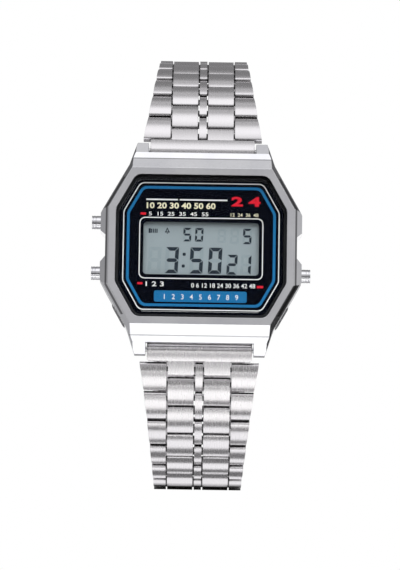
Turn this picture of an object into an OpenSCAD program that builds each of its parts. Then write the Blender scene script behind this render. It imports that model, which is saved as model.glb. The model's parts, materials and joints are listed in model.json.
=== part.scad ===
// Digital watch: a chromed eight-sided case on a steel link bracelet with a folding clasp.
// The dial faces -Y and 12 o'clock is +Z. The origin is the middle of the case back's outer face.
// Depths are heights above the case back, towards the dial.

/* [Case] */
// How far each side guard stands out past the front frame
guard_out = 1.4; // [1.2:0.05:1.7]
// Height of the case over its lugs
case_h = 35.8; // [35:0.1:37.5]
// Height of the front frame's flat face above the case back
case_t = 8.2; // [8:0.1:9.5]
// Half height of the straight flank of each side
flank_h = 5.6; // [5.2:0.1:6]
// Width across the shoulders, where the lugs begin
shoulder_w = 24.4; // [23.8:0.1:25]
// Half height at which the shoulders meet the lugs
shoulder_h = 13.8; // [13.2:0.1:14.4]
// Width over the lug tips
lug_tip_w = 21.8; // [21.4:0.1:22.6]
// Gap between the lugs
lug_gap = 18.1; // [17.6:0.1:18.5]
// Length of the lugs past the case
lug_len = 1.86; // [1.6:0.02:2.2]
// Half height of the notch between the side guards
notch_half = 1.8; // [1.4:0.1:2.2]
// Depth of the notch between the side guards
notch_depth = 0.85; // [0.5:0.05:1]
// Height of the case's rear rim above the case back
rim_back = 0.4; // [0.3:0.05:0.5]

/* [Front frame] */
// Width of the flat front frame
frame_w = 30.9; // [30:0.1:31.4]
// Height of the flat front frame
frame_h = 26.3; // [25.6:0.1:26.8]
// Width of the flat face of the frame
frame_band = 1.2; // [0.8:0.05:1.3]
// Height of the sloping band above and below the frame
slope_h = 1.9; // [1.6:0.05:2.1]
// Drop of the sloping band
slope_drop = 1.6; // [1.2:0.05:1.9]
// Thickness of the crystal
crystal_t = 1.5; // [1.2:0.05:1.7]
// Width of the crystal's bevel
bevel_w = 0.85; // [0.5:0.05:0.9]
// Depth of the crystal's bevel
bevel_t = 0.4; // [0.2:0.05:0.6]

/* [Display] */
// Width of the display window
window_w = 19.3; // [18.5:0.1:19.6]
// Height of the display window
window_h = 8.9; // [8.5:0.1:9.3]
// How far the window's middle lies under the case's
window_drop = 0.3; // [0.2:0.02:0.4]
// Thickness of the dial plate
dial_t = 0.4; // [0.3:0.05:0.5]
// Thickness of the display
lcd_t = 1.1; // [1:0.05:1.2]

/* [Case back and works] */
// Thickness of the case back
back_t = 0.9; // [0.8:0.05:1]
// Diameter of the battery
battery_d = 20; // [19:0.1:20]
// Thickness of the battery
battery_t = 1.6; // [1.4:0.05:1.7]
// Diameter of the sounder disc
piezo_d = 16.8; // [16:0.1:17]
// Radius of a case back screw's shank
screw_r = 0.5; // [0.4:0.02:0.52]

/* [Buttons] */
// Diameter of a button's head
button_d = 2.24; // [2:0.04:2.4]
// How far a button stands out of the case
button_out = 1.5; // [1.2:0.05:1.9]
// Travel of a button
button_travel = 0.7; // [0.5:0.05:0.8]
// Half distance between the upper and lower buttons
button_z = 4.3; // [4.1:0.05:4.5]
// Height of the buttons above the case back
button_h = 4; // [3.9:0.05:4.1]
// Diameter of a button's stem
stem_d = 1.2; // [1:0.05:1.3]

/* [Bracelet] */
// Pitch of the links
pitch = 5.1; // [4.9:0.02:5.3]
// Gap between links in one column
link_gap = 0.24; // [0.2:0.02:0.3]
// Height of a link above its pins
link_top = 1; // [0.8:0.05:1.1]
// Crown of a link
link_crown = 0.46; // [0.3:0.02:0.54]
// Width of the bracelet at the case
bracelet_w = 20; // [19.4:0.1:20.6]
// Width of the bracelet at the clasp
bracelet_end_w = 15; // [14.6:0.1:15.4]
// Width of the centre column
centre_w = 1.25; // [1.2:0.05:1.6]
// Width of an inner column
inner_w = 4.35; // [4.3:0.05:4.6]
// Gap between neighbouring columns
column_gap = 0.24; // [0.1:0.01:0.3]
// Radius of a link pin
pin_r = 0.4; // [0.35:0.01:0.45]
// Distance from a spring bar to the end link's own pin
end_reach = 3.3; // [3.2:0.05:3.5]

/* [Clasp] */
// Straight distance between the clasp's two end pins
clasp_reach = 44.4; // [42:0.1:46]
// Radius of the clasp's curve
clasp_r = 45; // [42:0.5:55]
// Thickness of the cover
cover_t = 0.6; // [0.5:0.05:0.7]
// Thickness of a blade
blade_t = 0.6; // [0.5:0.05:0.65]
// Width of the blades
blade_w = 13.6; // [13:0.1:13.8]

/* [Hidden] */
top_links = 10;
bottom_links = 11;

$fn = 48;
fit = 0.03;          // radial clearance of a pin or stem in its bore
seat_gap = 0.05;     // clearance round a piece that drops into a seat
part_gap = 0.25;     // clearance round the works
over = 1;            // how far a cutter runs past what it cuts

// Colours
chrome_c = [0.80, 0.80, 0.82];
steel_c = [0.72, 0.71, 0.70];
dark_c = [0.03, 0.04, 0.07];
plastic_c = [0.12, 0.12, 0.13];
rubber_c = [0.08, 0.08, 0.08];
brass_c = [0.78, 0.62, 0.30];

// Drawing helpers. A side drawing has Z along its first axis and height above the back along its second.
module side(w) rotate([180, -90, 0]) linear_extrude(w, center = true) children();
module layer(low, high) rotate([90, 0, 0]) translate([0, 0, low]) linear_extrude(high - low) children();
module rod_x(r, x0, x1) translate([x0, 0, 0]) rotate([0, 90, 0]) cylinder(r = r, h = x1 - x0);
module at(x, z, h) translate([x, -h, z]) children();

function unit(v) = v / norm(v);
function arc(c, r, a0, a1, n) =
    [for (i = [0:n]) let (a = a0 + (a1 - a0) * i / n) c + r * [cos(a), sin(a)]];
function fillet(a, b, c, r, n) =
    let (u = unit(a - b), v = unit(c - b), half = acos(u * v) / 2,
         m = b + unit(u + v) * r / sin(half), p = b + u * r / tan(half) - m, q = b + v * r / tan(half) - m,
         a0 = atan2(p[1], p[0]), turn = (atan2(q[1], q[0]) - a0 + 900) % 360 - 180)
    arc(m, r, a0, a0 + turn, n);
function rounded(pts, r, n = 5) =
    let (k = len(pts))
    [for (i = [0:k - 1]) each fillet(pts[(i + k - 1) % k], pts[i], pts[(i + 1) % k], r, n)];
function four_way(q) = concat(
    q, [for (i = [len(q) - 1:-1:0]) [-q[i][0], q[i][1]]],
    [for (p = q) -p], [for (i = [len(q) - 1:-1:0]) [q[i][0], -q[i][1]]]);
function box_points(w, h) = four_way([[w / 2, h / 2]]);
function add(list, n) = n <= 0 ? 0 : list[n - 1] + add(list, n - 1);

case_w = frame_w + 2 * guard_out;

// The case's slanting corners all share one direction.
flank_run = case_w / 2 - shoulder_w / 2;
corner_a = atan2(flank_run, shoulder_h - flank_h);
corner_n = [cos(corner_a), sin(corner_a)];
case_reach = [case_w / 2, flank_h] * corner_n;
corner_step = 0.78;  // how far the frame's slanting edge lies inside the case's
corner_drop = 1.5;   // how far the slanting side falls over that step
frame_reach = case_reach - corner_step;
function eight_sides(inset) =
    let (x = frame_w / 2 - inset, z = frame_h / 2 - inset, reach = frame_reach - inset)
    four_way([[x, (reach - x * corner_n[0]) / corner_n[1]], [(reach - z * corner_n[1]) / corner_n[0], z]]);

// Heights above the case back
crystal_top = case_t + 0.05;
crystal_low = crystal_top - crystal_t;
gasket_t = 0.2;
ledge_top = crystal_low - gasket_t;
dial_top = crystal_low - seat_gap;
dial_low = dial_top - dial_t;
holder_top = dial_low - seat_gap;
holder_lip = 0.25;
lcd_top = holder_top - holder_lip;
lcd_low = lcd_top - lcd_t;
strip_t = 0.83;
board_top = lcd_low - strip_t;
board_t = 0.5;
board_low = board_top - board_t;
battery_gap = 0.15;
cap_t = 0.2;           // step of the battery's cap, towards the board
cap_in = 1.4;
battery_low = board_low - battery_gap - battery_t;
strap_t = 0.18;
strap_w = 6;
strap_low = battery_low - strap_t;
piezo_t = 0.2;

// Insets from the frame's edge
crystal_in = frame_band;
ledge_w = 0.75;        // width of the ledge under the crystal
ledge_in = crystal_in + ledge_w;
cavity_step = 0.65;    // how far the works' room lies inside the ledge
cavity_in = ledge_in + cavity_step;
module_in = cavity_in + part_gap;
crystal_round = 1.6;
bevel_round = 1.1;
slice = 0.01;          // thickness of the slices that the bevel is drawn between
ledge_round = 1.2;
cavity_round = 0.8;
gasket_round = 1;

// Spring bars and the slots that the end links sit in
slot_z = case_h / 2 - lug_len;
pocket_in = 0.56;      // how far the slot reaches in under the case's front
pocket_z = slot_z - pocket_in;
lip_low = 4.7;         // height of the front's underside over the slot
bar_in = 1.05;         // how far the spring bar lies in from the lug's tip
bar_z = case_h / 2 - bar_in;
bar_h = 2.9;
bar_r = 0.7;
bar_tip_r = 0.42;
bar_tip_out = 1;
tip_room = 0.15;       // free depth past a bar's tip
bar_end = 0.3;         // distance from a lug to the bar's full width
lug_slope = case_t - slope_drop;

module bars() {
    for (s = [-1, 1]) at(0, s * bar_z, bar_h) children();
}

// Case back, its gasket and its screws
gasket_in = 2;
gasket_w = 0.4;
gasket_h = 0.4;
back_round = 1.4;
back_inset = 0.6;
screw_in = [4.25, 2.15];   // distance of a screw from the frame's sides
screw_at = [frame_w, frame_h] / 2 - screw_in;
head_r = 0.95;
head_t = 0.36;
screw_len = 2.3;
cross_len = 1.2;
cross_w = 0.18;
cross_depth = 0.24;
back_end = 0.1;        // how far the case back reaches past the frame at the top and bottom
back_corner = 0.95;    // how far its cut corners reach past the frame's
screw_room = 0.2;      // free depth of a bore under a screw
head_sink = 0.04;      // how far a screw's head lies under the case back's face
function back_outline(inset) =
    let (x = frame_w / 2 - back_inset - inset, z = frame_h / 2 + back_end - inset,
         reach = frame_reach + back_corner - inset)
    rounded(four_way([[x, (reach - x * corner_n[0]) / corner_n[1]],
                      [(reach - z * corner_n[1]) / corner_n[0], z]]), back_round);
module screw_places() {
    for (x = [-1, 1], z = [-1, 1]) at(x * screw_at[0], z * screw_at[1], 0) rotate([90, 0, 0]) children();
}

// Buttons: side of the case, height on the case
button_places = [[-1, button_z], [-1, -button_z], [1, -button_z]];
button_r = button_d / 2;
stem_r = stem_d / 2;
guard_x = case_w / 2;
cavity_x = frame_w / 2 - cavity_in;
head_in = 0.55;        // how far a button's head reaches into the case
spring_room = 0.7;     // length left for a pressed spring
well_gap = 0.08;       // clearance round a button's head
head_x = guard_x - head_in;
well_x = head_x - button_travel - spring_room;
well_r = button_r + well_gap;
seal_w = 0.5;
seal_back = 0.8;       // distance from the well's floor to the seal's inner side
seal_t = 0.4;
seal_gap = 0.02;
seal_x = well_x - seal_back;
seal_out_r = stem_r + seal_t;
clip_t = 0.25;
clip_x = cavity_x - seat_gap - clip_t;
clip_r = 1.15;
neck_depth = 0.2;
neck_r = stem_r - neck_depth;
stem_tail = 0.25;      // length of stem past the clip
contact_gap = 0.12;    // what a fully pressed stem leaves before its contact
contact_t = 0.12;
contact_w = 1.8;
contact_len = 2.4;
stem_end_x = clip_x - stem_tail;
contact_x = stem_end_x - button_travel - contact_gap;
module button_at(i) {
    at(0, button_places[i][1], button_h)
        if (button_places[i][0] < 0) mirror([1, 0, 0]) children();
        else children();
}

// Case. The lug's underside rises from the rear rim over lug_rise, and its tip is a flat between two heights.
lug_rise = 4.3;
lug_under = [1, 1.35];   // a place on the underside: distance in from the tip, height
lug_tip = [2.1, 4.7];    // heights of the tip's flat
lug_step = 0.3;          // how far the lug's top lies under the sloping band
rim_in = 1.1;            // how far the rear rim lies inside the guards
flank_edge = 1.9;        // height of the flank's lower edge, and depth of its upper edge
ledge_t = 0.45;          // thickness of the ledge that the crystal's gasket sits on
module case_body() color(chrome_c) difference() {
    intersection() {
        layer(0, case_t) polygon(four_way([
            [guard_x - notch_depth, notch_half], [guard_x, notch_half + notch_depth],
            [guard_x, flank_h], [shoulder_w / 2, shoulder_h], [lug_tip_w / 2, case_h / 2]]));
        side(case_w + over) polygon(case_profile());
        rotate([0, 90, 0]) side(case_h + over) polygon(flank_profile());
        for_corners() corner_block();
    }
    case_opening();
    case_rear();
    for (i = [0:2]) button_at(i) button_bore();
    for (s = [0, 1]) mirror([0, 0, s]) link_slot();
    tip_end = lug_gap / 2 + bar_tip_out + tip_room;
    bars() rod_x(bar_tip_r + fit, -tip_end, tip_end);
}
function case_profile() =
    let (half = [[case_h / 2 - lug_rise, rim_back], [case_h / 2 - lug_under[0], lug_under[1]],
                 [case_h / 2, lug_tip[0]], [case_h / 2, lug_tip[1]], [slot_z, lug_slope - lug_step],
                 [frame_h / 2 + slope_h, lug_slope], [frame_h / 2, case_t]])
    concat(half, [for (i = [len(half) - 1:-1:0]) [-half[i][0], half[i][1]]]);
function flank_profile() =
    let (half = [[guard_x - rim_in, rim_back], [guard_x, flank_edge], [guard_x, case_t - flank_edge],
                 [frame_w / 2, case_t]])
    concat(half, [for (i = [len(half) - 1:-1:0]) [-half[i][0], half[i][1]]]);
// The four slanting sides, each bevelled up to the frame's flat face
module corner_block() side(3 * case_h) polygon([
    [-case_reach - over, rim_back], [-case_reach - over, case_t - corner_drop * (1 + over / corner_step)],
    [-frame_reach, case_t], [frame_reach, case_t],
    [case_reach + over, case_t - corner_drop * (1 + over / corner_step)], [case_reach + over, rim_back]]);
module for_corners() intersection() {
    rotate([0, 90 - corner_a, 0]) children();
    rotate([0, 90 + corner_a, 0]) children();
}
module case_opening() {
    layer(ledge_top, case_t + over) polygon(rounded(eight_sides(crystal_in - seat_gap), crystal_round));
    layer(-over, case_t) polygon(rounded(eight_sides(ledge_in), ledge_round));
    layer(-over, ledge_top - ledge_t) polygon(rounded(eight_sides(cavity_in), cavity_round));
}
module case_rear() {
    layer(-over, back_t) polygon(back_outline(-seat_gap));
    layer(0, back_t + gasket_h) difference() {
        polygon(rounded(eight_sides(gasket_in - seat_gap), gasket_round));
        polygon(rounded(eight_sides(gasket_in + gasket_w + seat_gap), gasket_round));
    }
    screw_places() cylinder(r = screw_r + fit, h = back_t + screw_len + screw_room);
}
module button_bore() {
    rod_x(stem_r + 2 * fit, cavity_x - over, guard_x + over);
    rod_x(well_r, well_x, guard_x + over);
    rod_x(seal_out_r + seal_gap, seal_x, seal_x + seal_w + 2 * seal_gap);
}
module link_slot() {
    layer(-over, lip_low) translate([-lug_gap / 2, pocket_z]) square([lug_gap, case_h]);
    layer(lip_low - 0.1, case_t + over) translate([-lug_gap / 2, slot_z]) square([lug_gap, case_h]);
}

// Crystal, with a bevelled rim
module crystal() color([0.75, 0.80, 0.85, 0.35]) {
    layer(crystal_low, crystal_top - bevel_t) polygon(rounded(eight_sides(crystal_in), crystal_round));
    hull() {
        layer(crystal_top - bevel_t, crystal_top - bevel_t + slice)
            polygon(rounded(eight_sides(crystal_in), crystal_round));
        layer(crystal_top - slice, crystal_top)
            polygon(rounded(eight_sides(crystal_in + bevel_w), bevel_round));
    }
}
module crystal_gasket() color(rubber_c) layer(ledge_top, crystal_low) difference() {
    polygon(rounded(eight_sides(crystal_in + seat_gap), crystal_round));
    polygon(rounded(eight_sides(ledge_in - seat_gap), ledge_round));
}
module dial_plate() color(dark_c) layer(dial_low, dial_top) difference() {
    polygon(rounded(eight_sides(ledge_in + seat_gap), ledge_round));
    translate([0, -window_drop]) polygon(rounded(box_points(window_w, window_h), window_round));
}

// Display and works
board_in = [1.4, 0.9];     // how far the board lies inside the module frame
board_w = frame_w - 2 * (module_in + board_in[0]);
board_h = frame_h - 2 * (module_in + board_in[1]);
window_round = 0.6;
works_gap = 0.1;       // clearance between pieces of the works
lcd_edge = [1.9, 2.5];     // how much larger the display is than its window
lcd_w = window_w + lcd_edge[0];
lcd_h = window_h + lcd_edge[1];
holder_margin = 0.2;   // how far the holder's window stands outside the dial's
strip_w = 1.2;
strip_in = 0.75;       // distance of a contact strip's middle from the display's edge
strip_end = 0.5;       // how far its ends lie inside the display's
lamp_r = 0.25;
lamp_len = 4;
lamp_gap = 0.06;
lamp_x = lcd_w / 2 + lamp_r + lamp_gap;
chip_r = 3;
chip_t = 0.6;
chip_rim_t = 0.06;
notch_w = 1.5;         // half width of the frame's notches for the button contacts
can_r = 0.8;
can_gap = 0.02;
can_len = 3.4;
can_in = [0.9, 2.3];       // distance of the crystal can's middle from the board's edges
can_at = [board_w, board_h] / 2 - can_in;
coil_r = 1.05;
coil_bore_r = 0.35;
coil_len = 1.6;
coil_in = [0.9, 2.4];      // the same for the buzzer's coil
coil_at = coil_in - [board_w, board_h] / 2;
sounder_room = 0.35;   // distance from the sounder disc to the back gasket
sounder_x = 3.9;
sounder_at = [sounder_x, gasket_in + gasket_w + sounder_room + piezo_d / 2 - frame_h / 2];
sounder_spring_at = sounder_at + [6.1, -4.6];
sounder_spring_r = 0.6;
sounder_wire_r = 0.1;

module lcd_holder() color(plastic_c) difference() {
    layer(board_top, holder_top) square([board_w, board_h], center = true);
    layer(board_top - over, lcd_top) square([lcd_w + works_gap, lcd_h + works_gap], center = true);
    layer(board_top - over, holder_top + over) translate([0, -window_drop])
        square([window_w + 2 * holder_margin, window_h + 2 * holder_margin], center = true);
    layer(lcd_low - 3 * works_gap, lcd_top)
        translate([-lamp_x - lamp_r - works_gap, -lamp_len / 2 - works_gap])
            square([4 * lamp_r, lamp_len + 2 * works_gap]);
}
module lcd_panel() color([0.55, 0.60, 0.58]) layer(lcd_low, lcd_top) square([lcd_w, lcd_h], center = true);
module contact_strips() color([0.55, 0.35, 0.35]) for (s = [-1, 1])
    layer(board_top, lcd_low) translate([0, s * (lcd_h / 2 - strip_in)])
        square([lcd_w - 2 * strip_end, strip_w], center = true);
module backlight_lamp() color([0.95, 0.85, 0.55])
    at(-lamp_x, -lamp_len / 2, (lcd_top + lcd_low) / 2) cylinder(r = lamp_r, h = lamp_len);
module module_frame() color([0.82, 0.82, 0.78]) difference() {
    layer(battery_low, holder_top - works_gap) polygon(rounded(eight_sides(module_in), cavity_round - 0.2));
    layer(0, board_low + can_gap) circle(r = battery_d / 2 + works_gap, $fn = 96);
    layer(board_low - can_gap, case_t) square([board_w + works_gap, board_h + works_gap], center = true);
    for (s = [-1, 1], t = [-1, 1]) translate([s * (contact_x - contact_t + notch_w), -button_h, t * button_z])
        cube(2 * notch_w, center = true);
    can_place() cylinder(r = can_r + works_gap, h = can_len + 2 * works_gap, center = true);
    layer(0, board_top) translate(coil_at) circle(r = coil_r + works_gap);
    layer(0, board_top) translate(sounder_spring_at) circle(r = sounder_spring_r + 3 * works_gap);
}
module can_place() at(can_at[0], can_at[1], board_low - can_r - can_gap)
    rotate([0, atan2(can_at[0], can_at[1]) + 90, 0]) children();
module circuit_board() color([0.10, 0.36, 0.20]) layer(board_low, board_top)
    square([board_w, board_h], center = true);
module chip_blob() color([0.02, 0.02, 0.02]) at(0, 0, board_top) rotate([90, 0, 0]) rotate_extrude()
    polygon(concat([[0, 0], [chip_r, 0]],
        [for (a = [0:15:90]) [chip_r * cos(a), chip_rim_t + (chip_t - chip_rim_t) * sin(a)]]));
module quartz_can() color([0.80, 0.80, 0.82]) can_place() cylinder(r = can_r, h = can_len, center = true);
module buzzer_coil() color([0.65, 0.35, 0.18]) layer(board_low - coil_len, board_low) translate(coil_at)
    difference() {
        circle(r = coil_r);
        circle(r = coil_bore_r);
    }
module battery() color([0.78, 0.78, 0.80]) {
    layer(battery_low, battery_low + battery_t - cap_t) circle(r = battery_d / 2, $fn = 96);
    layer(battery_low + battery_t - cap_t, battery_low + battery_t)
        circle(r = battery_d / 2 - cap_in, $fn = 96);
}
module battery_strap() color(steel_c) layer(strap_low, battery_low)
    square([2 * (frame_w / 2 - module_in - 2 * works_gap), strap_w], center = true);
module button_contacts() color(brass_c) for (i = [0:2]) button_at(i)
    translate([contact_x - contact_t / 2, 0, 0]) cube([contact_t, contact_w, contact_len], center = true);
// A coil spring as one tube along X or Y, with a closed end face at each end
function spring_ring(turns, r, wire, rise, k, n) =
    let (a = 360 * turns * k / n, lift = rise * k / n, out = [cos(a), sin(a)])
    [for (b = [0:60:300]) let (reach = r + wire * cos(b))
        [lift + wire * sin(b), reach * out[0], reach * out[1]]];
module coil_spring(turns, r, wire, length) {
    n = 8 * turns;
    rise = length - 2 * wire;
    points = [for (k = [0:n]) each [for (p = spring_ring(turns, r, wire, rise, k, n)) p + [wire, 0, 0]]];
    caps = [[for (j = [0:5]) j], [for (j = [5:-1:0]) n * 6 + j]];
    walls = [for (k = [0:n - 1], j = [0:5]) let (a = k * 6 + j, b = k * 6 + (j + 1) % 6)
        each [[a, a + 6, b], [b, a + 6, b + 6]]];
    polyhedron(points, concat(
        [for (i = [1:4]) [caps[0][0], caps[0][i], caps[0][i + 1]]],
        [for (i = [1:4]) [caps[1][0], caps[1][i], caps[1][i + 1]]], walls));
}
sounder_gap = 0.03;
sounder_len = board_low - back_t - piezo_t - 2 * sounder_gap;
sounder_turns = 5;
sounder_coil_gap = (sounder_len - 2 * sounder_wire_r) / sounder_turns - 2 * sounder_wire_r;
echo(sounder_coil_gap = sounder_coil_gap);
module buzzer_spring() color(steel_c)
    at(sounder_spring_at[0], sounder_spring_at[1], back_t + piezo_t + sounder_gap)
        rotate([0, 0, -90]) coil_spring(sounder_turns, sounder_spring_r, sounder_wire_r, sounder_len);
module piezo_disc() color(brass_c) layer(back_t, back_t + piezo_t) translate(sounder_at)
    circle(r = piezo_d / 2, $fn = 96);

// Case back
module back_gasket() color(rubber_c) layer(back_t, back_t + gasket_h) difference() {
    polygon(rounded(eight_sides(gasket_in), gasket_round));
    polygon(rounded(eight_sides(gasket_in + gasket_w), gasket_round));
}
module case_back() color(steel_c) difference() {
    layer(0, back_t) polygon(back_outline(0));
    screw_places() translate([0, 0, -over]) cylinder(r = head_r + fit, h = head_t + head_sink + over);
    screw_places() cylinder(r = screw_r + 2 * fit, h = back_t + over);
}
module back_screws() color(steel_c) screw_places() difference() {
    union() {
        translate([0, 0, head_sink]) cylinder(r = head_r, h = head_t);
        cylinder(r = screw_r, h = back_t + screw_len);
    }
    translate([0, 0, -over]) cylinder(r = head_r + over, h = over + head_sink);
    for (a = [0, 90]) rotate([0, 0, a]) translate([-cross_len / 2, -cross_w / 2, -over])
        cube([cross_len, cross_w, over + cross_depth]);
}

// Buttons
groove_at = [0.5, 0.8];   // places of the grooves along the part of the head that stands out
groove_depth = 0.07;
groove_w = 0.1;
clip_gap = 0.02;
clip_mouth = 0.64;
spring_wire_r = 0.1;
spring_turns = 3;
module button() {
    difference() {
        rod_x(button_r, head_x, guard_x + button_out);
        for (part = groove_at) rod_groove(guard_x + button_out * part, button_r - groove_depth, groove_w);
    }
    difference() {
        rod_x(stem_r, stem_end_x, head_x);
        rod_groove(clip_x - clip_gap, neck_r, clip_t + 2 * clip_gap);
    }
    difference() {
        rod_x(clip_r, clip_x, clip_x + clip_t);
        rod_x(neck_r + clip_gap, clip_x - over, clip_x + over);
        translate([clip_x - over, -clip_mouth / 2, 0]) cube([3 * over, clip_mouth, 2 * clip_r]);
    }
}
module rod_groove(x, r, w) difference() {
    rod_x(button_r + over, x, x + w);
    rod_x(r, x - over, x + w + over);
}
module button_spring() translate([well_x + clip_gap, 0, 0])
    coil_spring(spring_turns, (stem_r + well_r) / 2, spring_wire_r, head_x - well_x - 2 * clip_gap);
button_coil_room = head_x - well_x - 2 * clip_gap - 2 * spring_wire_r;
echo(button_coil_gap = button_coil_room / spring_turns - 2 * spring_wire_r);
module light_button() color(chrome_c) button_at(0) button();
module mode_button() color(chrome_c) button_at(1) button();
module start_button() color(chrome_c) button_at(2) button();
module light_button_spring() color(steel_c) button_at(0) button_spring();
module mode_button_spring() color(steel_c) button_at(1) button_spring();
module start_button_spring() color(steel_c) button_at(2) button_spring();
module button_seals() color(rubber_c) for (i = [0:2]) button_at(i) difference() {
    rod_x(seal_out_r, seal_x + seal_gap, seal_x + seal_gap + seal_w);
    rod_x(stem_r + fit, seal_x - over, seal_x + seal_w + over);
}
module lug_spring_bars() color(steel_c) bars() {
    rod_x(bar_r, bar_end - lug_gap / 2, lug_gap / 2 - bar_end);
    for (s = [0, 1]) mirror([s, 0, 0]) rod_x(bar_tip_r, lug_gap / 2 - bar_end, lug_gap / 2 + bar_tip_out);
}

// Bracelet: how far each link leans back from upright, from its bends as worn on a wrist
top_first = 26;
bottom_first = 17;
top_bends = [3, 9, 11.5, 12, 9, 10, 24, 22, 14, 7];
bottom_bends = [5.5, 7.5, 14.5, 14, 12, 13.5, 23, 20, 14, 7, 3];
top_seen = 6;
bottom_seen = 6;
function leans(first, bends, seen, extra) =
    [for (k = [0:len(bends)]) first + add(bends, k) + extra * max(0, k - seen)];
function hinge(lean, k) = k == 0 ? [-bar_h, bar_z]
    : hinge(lean, k - 1) + (k == 1 ? end_reach : pitch) * [sin(lean[k - 1]), cos(lean[k - 1])];
function ends_apart(extra) =
    let (t = hinge(leans(top_first, top_bends, top_seen, extra), top_links + 1),
         b = hinge(leans(bottom_first, bottom_bends, bottom_seen, extra), bottom_links + 1))
    norm([t[0] - b[0], t[1] + b[1]]) - clasp_reach;
// The hidden links bend a little more or less, so that both halves meet at the clasp.
function solve(low, high, steps) =
    let (mid = (low + high) / 2)
    steps == 0 ? mid : ends_apart(mid) > 0 ? solve(mid, high, steps - 1) : solve(low, mid, steps - 1);
least_extra = -12;
most_extra = 14;
halvings = 30;
extra_bend = solve(least_extra, most_extra, halvings);
top_lean = leans(top_first, top_bends, top_seen, extra_bend);
bottom_lean = leans(bottom_first, bottom_bends, bottom_seen, extra_bend);
clasp_top = hinge(top_lean, top_links + 1);
clasp_bottom = [hinge(bottom_lean, bottom_links + 1)[0], -hinge(bottom_lean, bottom_links + 1)[1]];
clasp_run = clasp_bottom - clasp_top;
clasp_lean = atan2(clasp_run[0], clasp_run[1]);
echo(extra_bend = extra_bend, clasp_lean = clasp_lean, clasp_top = clasp_top, clasp_bottom = clasp_bottom);
echo(top_lean = top_lean);
echo(bottom_lean = bottom_lean);
echo(top_hinges = [for (k = [0:top_links + 1]) hinge(top_lean, k)]);
echo(bottom_hinges = [for (k = [0:bottom_links + 1]) let (p = hinge(bottom_lean, k)) [p[0], -p[1]]]);

module on_top(n) at(0, hinge(top_lean, n)[1], -hinge(top_lean, n)[0]) rotate([-top_lean[n], 0, 0]) children();
module on_bottom(n) mirror([0, 0, 1])
    at(0, hinge(bottom_lean, n)[1], -hinge(bottom_lean, n)[0]) rotate([-bottom_lean[n], 0, 0]) children();

// One column's piece of a link, seen from the side, with its middle at s
under_r = pitch / 4 - link_gap / 2;
link_round = 0.45;
crown_end = 1.1;       // length of each end that is left for the rounding
pin_in = 0.25;         // how far a link pin's ends lie inside the link
function crown(s, half) = let (r = (half * half + link_crown * link_crown) / 2 / link_crown)
    link_top - r + sqrt(r * r - s * s);
function piece_outline(s0, s1, first_round = link_round, last_round = link_round) =
    let (mid = (s0 + s1) / 2, half = (s1 - s0) / 2, near = half - crown_end, edge = crown(half, half),
         ridge = [for (i = [0:8]) let (s = near * (1 - i / 4)) [mid + s, crown(s, half)]])
    concat(arc([s0 + under_r, 0], under_r, 180, 270, 5), arc([s1 - under_r, 0], under_r, 270, 360, 5),
           fillet([s1, 0], [s1, edge], ridge[0], last_round, 4), ridge,
           fillet(ridge[8], [s0, edge], [s0, 0], first_round, 4));
a_span = [-under_r, pitch / 2 + under_r];
b_span = a_span + [pitch / 2, pitch / 2];
inner_x = centre_w / 2 + column_gap;
outer_x = inner_x + inner_w + column_gap;
taper_rows = 6;
function half_w(row) =
    bracelet_end_w / 2 + (bracelet_w - bracelet_end_w) / 2 * pow(max(0, 1 - row / taper_rows), 2);

module bore(s, r, w) at(0, s, 0) rod_x(r, -w / 2, w / 2);
module link_column(span, x0, x1) difference() {
    translate([(x0 + x1) / 2, 0, 0]) side(x1 - x0) polygon(piece_outline(span[0], span[1]));
    for (s = [span[0] + under_r, span[1] - under_r]) bore(s, pin_r + fit, 4 * case_w);
}
module link(n) {
    near = half_w(n - 1);
    far = half_w(n);
    for (m = [0, 1]) mirror([m, 0, 0]) {
        link_column(b_span, inner_x, inner_x + inner_w);
        intersection() {
            link_column(a_span, outer_x, near + over);
            layer(-2 * pitch, 2 * pitch)
                polygon([[0, a_span[0]], [near, a_span[0]], [far, a_span[1]], [0, a_span[1]]]);
        }
    }
    link_column(a_span, -centre_w / 2, centre_w / 2);
    for (s = [0, pitch / 2]) bore(s, pin_r, 2 * (far - pin_in));
}
module top_link(n) color(steel_c) on_top(n) link(n);
module bottom_link(n) color(steel_c) on_bottom(n) link(n);
// The last lower link also carries the sleeves that fill its open columns round the clasp's bar.
module last_sleeves() on_bottom(bottom_links) at(0, pitch, 0) difference() {
    union() {
        rod_x(sleeve_r, -centre_w / 2, centre_w / 2);
        for (m = [0, 1]) mirror([m, 0, 0]) rod_x(sleeve_r, outer_x, sleeve_x);
    }
    rod_x(pin_r + fit, -case_w, case_w);
}

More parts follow.
